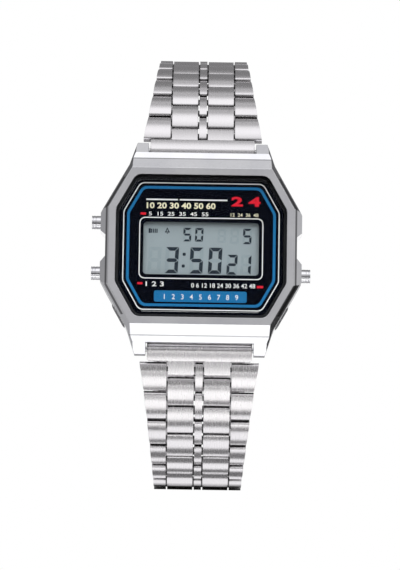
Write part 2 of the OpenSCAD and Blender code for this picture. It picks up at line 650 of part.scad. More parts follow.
// End link: a plate across the lug gap, with two tabs for the first link
end_plate_w = lug_gap - 0.5;
end_tube_r = 1.2;
end_cut = 0.5;         // cut corner under the plate's outer edge
end_fall = 0.1;        // how far the plate and its tabs fall towards their ends
end_round = 0.3;
tab_round = 0.6;
shoulder_round = 0.5;  // rounding of the corners seen from the front
end_shoulder = end_reach - under_r - 0.25;
module end_link() intersection() {
    end_link_block();
    layer(-2 * pitch, 2 * pitch) polygon(rounded(end_link_plan(), shoulder_round));
}
function end_link_plan() =
    let (tab_end = end_reach + under_r, low_end = -end_tube_r - over, tab_x = inner_x + inner_w,
         half = [[end_plate_w / 2, low_end], [end_plate_w / 2, end_shoulder], [tab_x, end_shoulder],
                 [tab_x, tab_end], [inner_x, tab_end], [inner_x, end_shoulder]])
    concat(half, [for (i = [len(half) - 1:-1:0]) [-half[i][0], half[i][1]]]);
module end_link_block() difference() {
    union() {
        side(end_plate_w) polygon(concat(arc([0, 0], end_tube_r, 90, 270, 8),
            [[end_shoulder - end_cut, -end_tube_r], [end_shoulder, end_cut - end_tube_r]],
            fillet([end_shoulder, 0], [end_shoulder, link_top], [0, link_top + end_fall], end_round, 3)));
        for (s = [-1, 1]) translate([s * (inner_x + inner_w / 2), 0, 0]) side(inner_w)
            polygon(concat([[0, -end_tube_r]], arc([end_reach, 0], under_r, 270, 360, 5),
                fillet([end_reach + under_r, 0], [end_reach + under_r, link_top - end_fall],
                       [0, link_top], tab_round, 4),
                [[0, link_top]]));
    }
    bore(0, bar_r + fit, 2 * case_w);
    bore(end_reach, pin_r + fit, 2 * case_w);
}
module end_link_top() color(steel_c) on_top(0) end_link();
module end_link_bottom() color(steel_c) on_bottom(0) end_link();

// Folding clasp. Its plates are arcs round one centre, and a place on it is an angle and a height.
clasp_half_a = asin(clasp_reach / 2 / clasp_r);
clasp_centre = [clasp_reach / 2, -clasp_r * cos(clasp_half_a)];
sleeve_r = 1;
sleeve_x = bracelet_end_w / 2 - 0.1;
mm_a = 180 / PI / clasp_r;                        // angle of one millimetre along the clasp
cover_hinge_a = -clasp_half_a + 2.4 * mm_a;
blade_hinge_a = clasp_half_a - 3.4 * mm_a;
blade_start_a = -clasp_half_a + 1.6 * mm_a;
tongue_end_a = -clasp_half_a + 2.2 * mm_a;
cover_start_a = -clasp_half_a + 1.5 * mm_a;
cover_end_a = clasp_half_a - 2.1 * mm_a;
wall_end_a = clasp_half_a + 1.6 * mm_a;
blade_gap = 0.3;                                  // gap between the closed blades
outer_blade_v = -0.2;
inner_blade_v = outer_blade_v - blade_gap - blade_t;
blade_hinge_v = outer_blade_v - blade_gap / 2;
knuckle_r = blade_gap / 2 + blade_t;
knuckle_gap = 0.12;                               // clearance round a knuckle
inner_knuckle_x = 2.6;
outer_knuckle_x = 2.45;
tongue_step = 0.12;                               // how far a tongue's faces lie inside the blade's
cover_pin_r = 0.3;
cover_hinge_v = outer_blade_v + 0.4;
cover_knuckle_r = 0.5;
cover_v = cover_hinge_v + cover_knuckle_r + 0.35;
wall_v = inner_blade_v + 0.3;                     // height of the cover walls' lower edge
wall_round = 0.4;
wall_end_round = 0.8;
blade_side = 0.2;                                 // how much narrower the outer blade is on each side
pin_back = 0.1;                                   // how far a clasp pin's ends lie inside its knuckles
bar_back = 0.05;                                  // the same for the cover's pin and the spring bar
cover_in_w = bracelet_end_w + 0.3;
cover_w = cover_in_w + 2 * cover_t;
adjust_step = 2.4;
adjust_holes = 3;
function clasp_point(a, v) = clasp_centre + (clasp_r + v) * [sin(a), cos(a)];
function steps(a0, a1, n = 16) = [for (i = [0:n]) a0 + (a1 - a0) * i / n];
function band(angles, v, t) = concat(
    [for (a = angles) clasp_point(a, v)], [for (i = [len(angles) - 1:-1:0]) clasp_point(angles[i], v + t)]);
module on_clasp() at(0, clasp_top[1], -clasp_top[0]) rotate([-clasp_lean, 0, 0]) children();
module at_clasp(a, v) at(0, clasp_point(a, v)[0], clasp_point(a, v)[1]) children();

module clasp_inner_blade() color(steel_c) on_clasp() difference() {
    union() {
        side(blade_w) polygon(band(steps(blade_start_a, blade_hinge_a), inner_blade_v, blade_t));
        for (m = [0, 1]) mirror([m, 0, 0]) {
            end_sleeve(outer_x, sleeve_x);
            at_clasp(blade_hinge_a, blade_hinge_v) rod_x(knuckle_r, inner_knuckle_x, blade_w / 2);
        }
        end_sleeve(-centre_w / 2, centre_w / 2);
    }
    rod_x(pin_r + fit, -case_w, case_w);
    at_clasp(blade_hinge_a, blade_hinge_v) {
        rod_x(pin_r + fit, -case_w, case_w);
        rod_x(knuckle_r + knuckle_gap, -inner_knuckle_x, inner_knuckle_x);
    }
}
// A sleeve round the upper end pin and the tongue that joins it to the blade
module end_sleeve(x0, x1) {
    rod_x(sleeve_r, x0, x1);
    translate([(x0 + x1) / 2, 0, 0]) side(x1 - x0) polygon(band(
        steps(-clasp_half_a, tongue_end_a, 3), inner_blade_v + tongue_step, blade_t - 2 * tongue_step));
}
module clasp_outer_blade() color(steel_c) on_clasp() difference() {
    union() {
        side(blade_w - 2 * blade_side)
            polygon(band(steps(cover_hinge_a, blade_hinge_a), outer_blade_v, blade_t));
        at_clasp(cover_hinge_a, cover_hinge_v)
            rod_x(cover_knuckle_r, blade_side - blade_w / 2, blade_w / 2 - blade_side);
        at_clasp(blade_hinge_a, blade_hinge_v) rod_x(knuckle_r, -outer_knuckle_x, outer_knuckle_x);
    }
    at_clasp(cover_hinge_a, cover_hinge_v) rod_x(cover_pin_r + fit, -case_w, case_w);
    at_clasp(blade_hinge_a, blade_hinge_v) {
        rod_x(pin_r + fit, -case_w, case_w);
        for (s = [0, 1]) mirror([s, 0, 0]) rod_x(knuckle_r + knuckle_gap, outer_knuckle_x, blade_w);
    }
}
// A channel: one curved block, cut out under its plate and past the plate's end
module clasp_cover() color(steel_c) on_clasp() difference() {
    side(cover_w) polygon(cover_outline());
    side(cover_in_w) polygon(cover_room());
    at_clasp(cover_hinge_a, cover_hinge_v) rod_x(cover_pin_r + fit, -case_w, case_w);
    for (k = [0:adjust_holes - 1]) at_clasp(clasp_half_a - k * adjust_step * mm_a, 0)
        rod_x(bar_tip_r, -case_w, case_w);
}
function cover_outline() =
    let (angles = concat(steps(cover_start_a, cover_end_a), [(cover_end_a + wall_end_a) / 2, wall_end_a]),
         m = len(angles), p = band(angles, wall_v, cover_v + cover_t - wall_v), n = len(p))
    concat(fillet(p[n - 1], p[0], p[1], wall_round, 3), [for (i = [1:m - 2]) p[i]],
           fillet(p[m - 2], p[m - 1], p[m], wall_end_round, 4),
           fillet(p[m - 1], p[m], p[m + 1], wall_end_round, 4), [for (i = [m + 1:n - 1]) p[i]]);
// The space under the cover's plate, which is open past the plate's end
function cover_room() =
    let (plate = concat([cover_start_a - over * mm_a], steps(cover_start_a, cover_end_a)),
         past_a = wall_end_a + over * mm_a)
    concat([for (a = plate) clasp_point(a, wall_v - over)], [clasp_point(past_a, wall_v - over)],
           [for (a = [past_a, cover_end_a]) clasp_point(a, cover_v + cover_t + over)],
           [for (i = [len(plate) - 1:-1:0]) clasp_point(plate[i], cover_v)]);
module clasp_blade_pins() color(steel_c) on_clasp() {
    rod_x(pin_r, pin_back - sleeve_x, sleeve_x - pin_back);
    at_clasp(blade_hinge_a, blade_hinge_v) rod_x(pin_r, pin_back - blade_w / 2, blade_w / 2 - pin_back);
}
module clasp_cover_pin() color(steel_c) on_clasp() at_clasp(cover_hinge_a, cover_hinge_v)
    rod_x(cover_pin_r, bar_back - cover_w / 2, cover_w / 2 - bar_back);
module clasp_spring_bar() color(steel_c) on_bottom(bottom_links) at(0, pitch, 0)
    rod_x(pin_r, bar_back - bracelet_end_w / 2, bracelet_end_w / 2 - bar_back);
echo(cover_hinge = clasp_point(cover_hinge_a, cover_hinge_v));
echo(blade_hinge = clasp_point(blade_hinge_a, blade_hinge_v));

case_body();
crystal();
crystal_gasket();
dial_plate();
lcd_holder();
lcd_panel();
contact_strips();
backlight_lamp();
module_frame();
circuit_board();
chip_blob();
quartz_can();
buzzer_coil();
battery();
battery_strap();
button_contacts();
buzzer_spring();
piezo_disc();
back_gasket();
case_back();
back_screws();
button_seals();
lug_spring_bars();
light_button();
mode_button();
start_button();
light_button_spring();
mode_button_spring();
start_button_spring();
end_link_top();
end_link_bottom();
for (n = [1:top_links]) top_link(n);
for (n = [1:bottom_links]) union() {
    bottom_link(n);
    if (n == bottom_links) color(steel_c) last_sleeves();
}
clasp_inner_blade();
clasp_outer_blade();
clasp_cover();
clasp_blade_pins();
clasp_cover_pin();
clasp_spring_bar();
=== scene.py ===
"""Looks for the digital watch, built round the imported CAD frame.

The dial faces -Y and 12 o'clock is +Z. Drawing sizes are millimetres, and MM makes them metres.
Depths on the dial are heights above the case back's outer face, towards the dial.
Studio sizes are metres. Azimuths run from the dial's front towards +X, and angles are degrees.
"""
import json
import math

import bmesh
import bpy
from mathutils import Matrix, Vector


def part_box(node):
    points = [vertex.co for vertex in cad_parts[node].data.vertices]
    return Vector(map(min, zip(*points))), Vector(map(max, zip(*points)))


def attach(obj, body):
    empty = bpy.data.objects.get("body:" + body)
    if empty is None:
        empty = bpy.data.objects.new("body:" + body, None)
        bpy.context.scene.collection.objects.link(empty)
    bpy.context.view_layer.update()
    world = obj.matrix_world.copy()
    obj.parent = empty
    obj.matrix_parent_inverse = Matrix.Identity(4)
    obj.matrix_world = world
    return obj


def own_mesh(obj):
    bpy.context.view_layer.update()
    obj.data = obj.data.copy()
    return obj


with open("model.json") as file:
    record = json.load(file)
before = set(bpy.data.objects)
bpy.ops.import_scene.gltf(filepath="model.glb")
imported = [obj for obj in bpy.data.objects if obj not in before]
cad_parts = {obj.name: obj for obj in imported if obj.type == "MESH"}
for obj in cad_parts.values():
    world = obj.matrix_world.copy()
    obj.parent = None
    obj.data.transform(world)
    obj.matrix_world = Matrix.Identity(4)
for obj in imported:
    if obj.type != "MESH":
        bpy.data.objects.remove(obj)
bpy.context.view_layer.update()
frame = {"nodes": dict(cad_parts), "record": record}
nodes = frame["nodes"]
MM = 0.001

# ---- sizes of the case and the dial, in millimetres -------------------------------------
CASE_W, FLANK_H, SHOULDER_W, SHOULDER_H = 33.7, 5.6, 24.4, 13.8
FRAME_W, FRAME_H, CORNER_STEP = 30.9, 26.3, 0.78
# The step and ridge lines are painted into the case metal's colour: painted shade along the step
# beside the frame, and a painted dark reflection along the ridge.
RIDGE_Z, RIDGE_HALF = 14.93, 0.05      # edge between slope and lug shelf, half width of its line
STEP_OUT, STEP_HALF = 0.38, 0.13       # the step line's place outside the frame, half its width
STEP_DEEP = 5.0                        # both lines are drawn on what lies in front of this height
STEP_END = 11.6                        # the step line ends this far above and below the middle
STEP_PAINTED_SHADE, RIDGE_PAINTED_REFLECTION = 0.72, 0.5      # part of the colour that each painted line takes away: painted shade at the step, a painted dark reflection at the ridge
LINE_FADE = 0.06                       # soft edge of a line drawn in a material
DIAL_TOP = -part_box("dial_plate")[0].y / MM
LCD_TOP = -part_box("lcd_panel")[0].y / MM
PRINT_T = 0.012                        # thickness of a printed layer
BAND_T = 0.006                         # and of the blue band, which lies under its white numbers
GHOST_T = 0.004                        # and of the display's unlit bars
BAND_SINK = 0.001
PRINT_LIFT = 0.002                     # gap that keeps a print clear of the plate under it

# Rings of print along the frame: inset, width, outer corner's radius
WHITE_RING = (2.38, 0.17, 1.3)
BLUE_RING = (3.02, 0.45, 1.35)
RING_TIGHTER = 0.35                    # the inner corner's radius falls by this part of the width
# The white line round the display's window, which lies a little under the middle
WINDOW_W, WINDOW_H, WINDOW_CORNER, WINDOW_LINE, WINDOW_DROP = 20.7, 10.4, 1.0, 0.16, 0.3

# Numbers: text, left edge, right edge, lower edge, upper edge, boldness
WHITE_NUMBERS = (
    ("5  15  25  35  45  55", -8.8, 1.14, 5.14, 5.78, 0.010),
    ("1 2 3", -9.14, -6.1, -6.80, -5.98, 0.014),
    ("0 6 12 18 24 30 36 42 48", -1.55, 9.12, -6.92, -6.16, 0.008),
    ("1   2   3   4   5   6   7   8   9", -6.05, 6.3, -8.93, -8.07, 0.004),
)
CREAM_NUMBERS = (
    ("10 20 30 40 50 60", -9.19, 2.32, 6.34, 7.38, 0.03),
    ("12  24  36  48", 4.87, 9.5, 5.12, 5.72, 0.008),
)
RED_NUMBERS = (("2 4", 4.96, 9.84, 6.88, 8.52, 0.04),)
# Bars: left edge, right edge, lower edge, upper edge
WHITE_BARS = ((-9.27, -4.00, 7.75, 7.99), (-3.68, 4.28, 7.75, 7.99))
RED_MARKS = ((-10.2, -9.28, 5.28, 5.64), (-10.55, -9.64, -6.50, -6.14), (9.38, 10.45, -6.86, -6.46))
MARK_CORNER = 0.1
BLUE_BAND, BAND_CORNER = (-7.72, 7.72, -9.38, -7.48), 0.32

# ---- figures of the display, in millimetres ---------------------------------------------
# Digits: figure, left edge, lower edge, width, height, bar width
DIGITS = (
    ("3", -6.06, -4.46, 2.21, 4.41, 0.61),
    ("5", -1.94, -4.46, 2.21, 4.41, 0.61),
    ("0", 1.18, -4.46, 2.21, 4.41, 0.61),
    ("2", 4.27, -4.56, 1.74, 3.37, 0.47),
    ("1", 6.57, -4.56, 1.74, 3.37, 0.47),
    ("5", -3.06, 0.94, 1.36, 2.30, 0.36),
    ("0", -1.07, 0.94, 1.36, 2.30, 0.36),
    ("5", 6.91, 0.63, 1.46, 2.62, 0.38),
)
# Digits that stay pale: left edge, lower edge, width, height, bar width
UNLIT = (
    (-8.90, -4.46, 2.15, 4.41, 0.61),
    (2.7, 0.80, 1.36, 2.30, 0.36),
    (4.8, 0.63, 1.46, 2.62, 0.38),
)
# The bars that are dark in each figure: a to f run round from the top, and g is in the middle
LIT = {"0": "abcdef", "1": "bc", "2": "abged", "3": "abgcd", "5": "afgcd"}
SLANT = 0.045                          # a digit's lean for each millimetre of height
GAP = 0.055                            # how far each end of a bar stays off its neighbour
TIP, SHOULDER, CUT = 0.2, 0.7, 0.6     # slopes of the bars' ends, in bar widths
COLON = ((-2.80, -1.23), (-2.92, -3.22))
DOT_HALF, DOT_CORNER = 0.27, 0.2
FIRST_BAR = (-8.80, -8.46, 2.30, 3.08)
NEXT_BARS, BAR_PITCH = (-8.70, -8.51, 2.32, 3.02), 0.30
BELL = ((-6.16, 2.40), (-5.18, 2.40), (-5.42, 2.72), (-5.67, 3.36), (-5.92, 2.72))
BELL_HOLE = ((-5.84, 2.57), (-5.50, 2.57), (-5.58, 2.72), (-5.67, 2.96), (-5.76, 2.72))
BELL_CORNER, BELL_HOLE_CORNER = 0.07, 0.03
BELL_CLAPPER = (-5.77, -5.57, 2.20, 2.34)


# ---- outlines ---------------------------------------------------------------------------
def fillet(a, b, c, r, n):
    """The arc of radius r that rounds the corner b between a and c."""
    a, b, c = Vector(a), Vector(b), Vector(c)
    u, v = (a - b).normalized(), (c - b).normalized()
    half = math.acos(max(-1, min(1, u.dot(v)))) / 2
    m = b + (u + v).normalized() * r / math.sin(half)
    p, q = b + u * r / math.tan(half) - m, b + v * r / math.tan(half) - m
    start = math.atan2(p.y, p.x)
    turn = (math.atan2(q.y, q.x) - start + 5 * math.pi) % (2 * math.pi) - math.pi
    angles = [start + turn * i / n for i in range(n + 1)]
    return [(m.x + r * math.cos(angle), m.y + r * math.sin(angle)) for angle in angles]


def rounded(points, r, n=8):
    """A closed outline with all its corners rounded."""
    corners = zip(points[-1:] + points[:-1], points, points[1:] + points[:1])
    return [p for before, corner, after in corners for p in fillet(before, corner, after, r, n)]


def four_way(quarter):
    """Mirrors the points of the first quarter into all four, in order round the middle."""
    back = quarter[::-1]
    upper_left, lower_left = [(-x, z) for x, z in back], [(-x, -z) for x, z in quarter]
    return quarter + upper_left + lower_left + [(x, -z) for x, z in back]


CORNER_A = math.atan2(CASE_W / 2 - SHOULDER_W / 2, SHOULDER_H - FLANK_H)
CORNER_X, CORNER_Z = math.cos(CORNER_A), math.sin(CORNER_A)
# From the middle to the frame's cut corners
CORNER_REACH = CASE_W / 2 * CORNER_X + FLANK_H * CORNER_Z - CORNER_STEP


def eight_sides(inset):
    """The front frame's eight-sided outline, moved inwards."""
    reach = CORNER_REACH - inset
    x, z = FRAME_W / 2 - inset, FRAME_H / 2 - inset
    beside, above = (reach - x * CORNER_X) / CORNER_Z, (reach - z * CORNER_Z) / CORNER_X
    return four_way([(x, beside), (above, z)])


def frame_ring(inset, width, corner):
    """The outer and inner outline of a ring along the frame."""
    outer, inner = eight_sides(inset), eight_sides(inset + width)
    return rounded(outer, corner), rounded(inner, corner - RING_TIGHTER * width)


def window_outline(inset):
    """The line round the display's window, moved inwards."""
    corners = four_way([(WINDOW_W / 2 - inset, WINDOW_H / 2 - inset)])
    return rounded([(x, z - WINDOW_DROP) for x, z in corners], WINDOW_CORNER - inset)


def rectangle(a0, a1, b0, b1):
    return [(a0, b0), (a1, b0), (a1, b1), (a0, b1)]


# ---- meshes -----------------------------------------------------------------------------
def add_object(name, data):
    obj = bpy.data.objects.new(name, data)
    bpy.context.scene.collection.objects.link(obj)
    return obj


def dial_point(x, z, height):
    return Vector((x, -height, z)) * MM


class Sheet:
    """Flat shapes of one colour, each a thin solid that lies at one height."""

    def __init__(self, height, thickness=PRINT_T):
        self.bm = bmesh.new()
        self.low = height + PRINT_LIFT
        self.high = self.low + thickness

    def row(self, points, height):
        return [self.bm.verts.new(dial_point(x, z, height)) for x, z in points]

    def shape(self, points):
        """A filled outline."""
        low, high = self.row(points, self.low), self.row(points, self.high)
        self.bm.faces.new(low)
        self.bm.faces.new(high[::-1])
        for i in range(len(points)):
            j = (i + 1) % len(points)
            self.bm.faces.new((low[i], high[i], high[j], low[j]))

    def ring(self, outer, inner):
        """The band between two outlines with as many points each."""
        rows = [self.row(outer, self.low), self.row(outer, self.high),
                self.row(inner, self.high), self.row(inner, self.low)]
        for row, following in zip(rows, rows[1:] + rows[:1]):
            for i in range(len(outer)):
                j = (i + 1) % len(outer)
                self.bm.faces.new((row[i], row[j], following[j], following[i]))

    def bar(self, x0, x1, z0, z1, r=0.0):
        points = [(x1, z1), (x0, z1), (x0, z0), (x1, z0)]
        self.shape(rounded(points, r, 5) if r else points)

    def numbers(self, words, x0, x1, z0, z1, bold):
        """Plain numbers fitted into a box."""
        curve = bpy.data.curves.new("numbers", "FONT")
        curve.body, curve.offset, curve.resolution_u = words, bold, 3
        holder = add_object("numbers", curve)
        bpy.context.view_layer.update()
        drawn = holder.evaluated_get(bpy.context.evaluated_depsgraph_get())
        flat = bpy.data.meshes.new_from_object(drawn)
        xs, ys = [v.co.x for v in flat.vertices], [v.co.y for v in flat.vertices]
        sx, sz = (x1 - x0) / (max(xs) - min(xs)), (z1 - z0) / (max(ys) - min(ys))
        place = [(x0 + (x - min(xs)) * sx, z0 + (y - min(ys)) * sz) for x, y in zip(xs, ys)]
        made = self.row(place, self.high)
        for polygon in flat.polygons:
            self.bm.faces.new([made[i] for i in polygon.vertices])
        bpy.data.objects.remove(holder)
        bpy.data.curves.remove(curve)
        bpy.data.meshes.remove(flat)

    def piece(self, name, material, slot):
        """Ends the sheet: one object that rides on the case."""
        mesh = bpy.data.meshes.new(name)
        bmesh.ops.recalc_face_normals(self.bm, faces=self.bm.faces[:])
        self.bm.to_mesh(mesh)
        self.bm.free()
        mesh.materials.append(material)
        obj = add_object(name, mesh)
        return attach(obj, "case")


# ---- nodes ------------------------------------------------------------------------------
def math_node(tree, operation, *values):
    """A calculation with numbers and other nodes' outputs."""
    made = tree.nodes.new("ShaderNodeMath")
    made.operation = operation
    for socket, value in zip(made.inputs, values):
        if isinstance(value, (int, float)):
            socket.default_value = value
        else:
            tree.links.new(value, socket)
    return made.outputs[0]


def map_range(tree, source, ins, outs):
    made = tree.nodes.new("ShaderNodeMapRange")
    for socket, value in zip(("From Min", "From Max", "To Min", "To Max"), (*ins, *outs)):
        made.inputs[socket].default_value = value
    tree.links.new(source, made.inputs["Value"])
    return made.outputs["Result"]


def mix_shaders(tree, factor, a, b):
    made = tree.nodes.new("ShaderNodeMixShader")
    for socket, source in zip(made.inputs, (factor, a, b)):
        tree.links.new(source, socket)
    return made.outputs[0]


def backdrop_rays(tree):
    """1 for the rays that see the white backdrop: the camera's, mirrored ones and through glass."""
    rays = tree.nodes.new("ShaderNodeLightPath").outputs
    bent = math_node(tree, "MAXIMUM", rays["Is Glossy Ray"], rays["Is Transmission Ray"])
    return math_node(tree, "MAXIMUM", rays["Is Camera Ray"], bent)


# ---- materials --------------------------------------------------------------------------
NOISE_RANGE = (0.3, 0.7)               # where nearly all values of a noise lie
GAP_SHADE_REACH, GAP_SHADE_LEVEL = 0.9, 0.12 # how far steel looks for its gaps in mm, and the painted shade's brightness in them
GAP_SHADE_RANGE = (0.35, 0.85)            # occlusion between which the painted shade in a gap lightens to none


class Paint:
    """A node material round one Principled shader."""

    def __init__(self, name, color, metallic=0.0, roughness=0.5, **constants):
        self.material = bpy.data.materials.new(name)
        self.material.use_nodes = True
        self.tree = self.material.node_tree
        self.shader = self.tree.nodes["Principled BSDF"]
        sockets = {"Base Color": (*color, 1), "Metallic": metallic, "Roughness": roughness}
        sockets.update({key.replace("_", " "): value for key, value in constants.items()})
        for socket, value in sockets.items():
            self.shader.inputs[socket].default_value = value
        self.where = self.node("ShaderNodeTexCoord").outputs["Object"]

    def node(self, kind, **settings):
        made = self.tree.nodes.new(kind)
        for key, value in settings.items():
            setattr(made, key, value)
        return made

    def link(self, source, target):
        self.tree.links.new(source, target)

    def surface(self, shader):
        self.link(shader, self.tree.nodes["Material Output"].inputs["Surface"])

    def noise(self, *scale, detail=3.0):
        """Noise in grains per millimetre, with one scale or one along each axis."""
        mapping = self.node("ShaderNodeMapping")
        mapping.inputs["Scale"].default_value = [s / MM for s in (scale * 3)[:3]]
        self.link(self.where, mapping.inputs["Vector"])
        made = self.node("ShaderNodeTexNoise")
        made.inputs["Scale"].default_value = 1
        made.inputs["Detail"].default_value = detail
        self.link(mapping.outputs["Vector"], made.inputs["Vector"])
        return made.outputs["Fac"]

    def math(self, operation, *values):
        return math_node(self.tree, operation, *values)

    def spread(self, source, low, high, ins=NOISE_RANGE):
        return map_range(self.tree, source, ins, (low, high))

    def line(self, source, centre, half):
        """1 where a length is within half of the centre, in millimetres, and 0 further off."""
        off = self.math("ABSOLUTE", self.math("SUBTRACT", source, centre * MM))
        return self.spread(off, 1, 0, (half * MM, (half + LINE_FADE) * MM))

    def color(self, factor, a, b, shade=None):
        """A colour between a and b, darkened by shade where one is given."""
        mixer = self.node("ShaderNodeMix", data_type="RGBA")
        mixer.inputs["A"].default_value, mixer.inputs["B"].default_value = (*a, 1), (*b, 1)
        self.link(factor, mixer.inputs["Factor"])
        made = mixer.outputs["Result"]
        if shade is not None:
            darker = self.node("ShaderNodeMix", data_type="RGBA", blend_type="MULTIPLY")
            darker.inputs["Factor"].default_value = 1
            self.link(made, darker.inputs["A"])
            self.link(shade, darker.inputs["B"])
            made = darker.outputs["Result"]
        self.link(made, self.shader.inputs["Base Color"])

    def cloudy(self, base, scale, dark, light):
        """Clouds of the base colour, from dark times as bright to light times."""
        self.color(self.spread(self.noise(scale), 0, 1),
                   [c * dark for c in base], [min(1, c * light) for c in base])

    def roughness(self, source, low, high):
        self.link(self.spread(source, low, high), self.shader.inputs["Roughness"])

    def bump(self, source, strength, depth_mm, edge_mm=0.0):
        """Small relief, over edges rounded by edge_mm."""
        made = self.node("ShaderNodeBump")
        made.inputs["Strength"].default_value = strength
        made.inputs["Distance"].default_value = depth_mm * MM
        self.link(source, made.inputs["Height"])
        if edge_mm:
            edge = self.node("ShaderNodeBevel", samples=8)
            edge.inputs["Radius"].default_value = edge_mm * MM
            self.link(edge.outputs["Normal"], made.inputs["Normal"])
        self.link(made.outputs["Normal"], self.shader.inputs["Normal"])


def chrome():
    """Polished case metal, with painted shade and reflection: dark lines drawn in its colour along a
    step beside the frame and along a ridge over and under it.
    """
    p = Paint("chrome", (0.86, 0.86, 0.88), metallic=1)
    place = p.node("ShaderNodeSeparateXYZ")
    p.link(p.where, place.inputs[0])
    x, z = (p.math("ABSOLUTE", place.outputs[axis]) for axis in "XZ")
    slanting = p.math("ADD", p.math("MULTIPLY", x, CORNER_X), p.math("MULTIPLY", z, CORNER_Z))
    past_corner = p.math("SUBTRACT", slanting, CORNER_REACH * MM)
    past_side = p.math("SUBTRACT", x, FRAME_W / 2 * MM)
    outside = p.math("MAXIMUM", past_corner, past_side)
    front = p.math("LESS_THAN", place.outputs["Y"], -STEP_DEEP * MM)
    beside = p.math("MULTIPLY", front, p.math("LESS_THAN", z, STEP_END * MM))
    shade = 1.0
    # Painted shade and painted dark reflection: each line darkens the metal's colour by its part.
    for line, where, painted_darkening in ((p.line(outside, STEP_OUT, STEP_HALF), beside, STEP_PAINTED_SHADE),
                                  (p.line(z, RIDGE_Z, RIDGE_HALF), front, RIDGE_PAINTED_REFLECTION)):
        dark = p.math("MULTIPLY", p.math("MULTIPLY", line, where), painted_darkening)
        shade = p.math("MULTIPLY", shade, p.math("SUBTRACT", 1.0, dark))
    p.color(p.spread(p.noise(0.15), 0, 1), (0.80, 0.80, 0.83), (0.90, 0.90, 0.915), shade)
    p.roughness(p.noise(2, detail=5), 0.05, 0.13)
    p.bump(p.noise(6, 6, 1.2, detail=4), 0.05, 0.02, edge_mm=0.09)
    return p.material


def brushed(name, base, grain=(15, 0.5, 0.5)):
    """Satin steel with painted shade in its gaps, and fine lines along Y and Z unless grain says
    otherwise.
    """
    p = Paint(name, base, metallic=1)
    lines, cloud = p.noise(*grain, detail=4), p.noise(0.25, detail=2)
    uneven = p.math("MULTIPLY_ADD", lines, 0.75, p.math("MULTIPLY", cloud, 0.25))
    # Painted shade: occlusion darkens the steel's colour in the gaps between parts.
    gap_shade = p.node("ShaderNodeAmbientOcclusion", samples=16)
    gap_shade.inputs["Distance"].default_value = GAP_SHADE_REACH * MM
    p.color(p.spread(uneven, 0, 1, (0.35, 0.65)),
            [c * 0.97 for c in base], [min(1, c * 1.03) for c in base],
            shade=p.spread(gap_shade.outputs["AO"], GAP_SHADE_LEVEL, 1, GAP_SHADE_RANGE))
    p.roughness(lines, 0.25, 0.28)
    p.bump(lines, 0.06, 0.004, edge_mm=0.07)
    return p.material


def glass():
    """Clear glass with weak gloss, which lets the lamps' light through to the dial."""
    p = Paint("crystal_glass", (0.97, 0.985, 0.99), roughness=0.01, Transmission_Weight=1.0,
              IOR=1.52, Specular_Tint=(0.06, 0.065, 0.08, 1))
    p.roughness(p.noise(0.3), 0.0, 0.02)
    clear = p.node("ShaderNodeBsdfTransparent")
    clear.inputs["Color"].default_value = (0.93, 0.95, 0.96, 1)
    shadow = p.node("ShaderNodeLightPath").outputs["Is Shadow Ray"]
    p.surface(mix_shaders(p.tree, shadow, p.shader.outputs[0], clear.outputs[0]))
    return p.material


def printed(name, color, dark=0.9, roughness=0.35):
    """Printing ink: a slightly uneven coat."""
    p = Paint(name, color, roughness=roughness, Specular_IOR_Level=0.2)
    p.cloudy(color, 3, dark, 1)
    p.roughness(p.noise(9), roughness - 0.06, roughness + 0.08)
    return p.material


def display():
    """The display's reflector: a fine metal grain under grey-green glass."""
    p = Paint("display_glass", (0.30, 0.34, 0.355), roughness=0.4, Specular_IOR_Level=0.3)
    p.color(p.spread(p.noise(14, detail=2), 0, 1), (0.282, 0.322, 0.336), (0.316, 0.360, 0.375))
    p.roughness(p.noise(1), 0.35, 0.5)
    return p.material


def moulded(name, base, grain=8.0, roughness=(0.45, 0.6), relief=0.01, **constants):
    """Plastic, rubber or lacquer with a fine grain."""
    p = Paint(name, base, **constants)
    rough = p.noise(grain, detail=4)
    p.cloudy(base, 0.4, 0.85, 1.12)
    p.roughness(rough, *roughness)
    p.bump(rough, 0.3, relief)
    return p.material


def metal(name, base):
    p = Paint(name, base, metallic=1)
    p.cloudy(base, 0.6, 0.9, 1.08)
    p.roughness(p.noise(5, detail=4), 0.2, 0.35)
    p.bump(p.noise(9), 0.1, 0.005, edge_mm=0.04)
    return p.material


# Material slot of the record: its paint
PAINTS = {
    "chrome": chrome(),
    "bracelet_steel": brushed("bracelet_steel", (0.80, 0.78, 0.79)),
    "back_steel": brushed("back_steel", (0.68, 0.68, 0.69), grain=(0.5, 9, 11)),
    "works_steel": metal("works_steel", (0.72, 0.72, 0.74)),
    "crystal": glass(),
    "dial": moulded("dial_lacquer", (0.001, 0.0015, 0.004), 6.0, (0.12, 0.2), 0.002,
                    Specular_IOR_Level=0.02),
    "display": display(),
    "rubber": moulded("rubber", (0.045, 0.045, 0.048), 10.0, (0.6, 0.8)),
    "black_plastic": moulded("black_plastic", (0.02, 0.02, 0.022)),
    "pale_plastic": moulded("pale_plastic", (0.78, 0.77, 0.72)),
    "board": moulded("board_lacquer", (0.02, 0.16, 0.06), 3.0, (0.25, 0.4)),
    "lamp": moulded("lamp_glass", (0.90, 0.78, 0.48), 4.0, (0.1, 0.2)),
    "copper": metal("copper_wire", (0.72, 0.36, 0.2)),
    "brass": metal("brass", (0.8, 0.62, 0.32)),
}
WHITE_INK = printed("ink_white", (0.86, 0.85, 0.83))
CREAM_INK = printed("ink_cream", (0.80, 0.74, 0.52))
RED_INK = printed("ink_red", (0.72, 0.008, 0.025))
BLUE_INK = printed("ink_blue", (0.008, 0.155, 0.365))
DIGIT_INK = printed("display_digits", (0.018, 0.026, 0.036), roughness=0.5)
GHOST_INK = printed("display_ghosts", (0.275, 0.324, 0.337), dark=0.97, roughness=0.45)

# ---- the CAD pieces ---------------------------------------------------------------------
FACETED = ("case_body", "crystal", "case_back")     # flat facets with small angles between them
FACETED_ANGLE, ROUND_ANGLE = 19, 32                 # edges sharper than this stay sharp
WELD_GAP = 1e-6


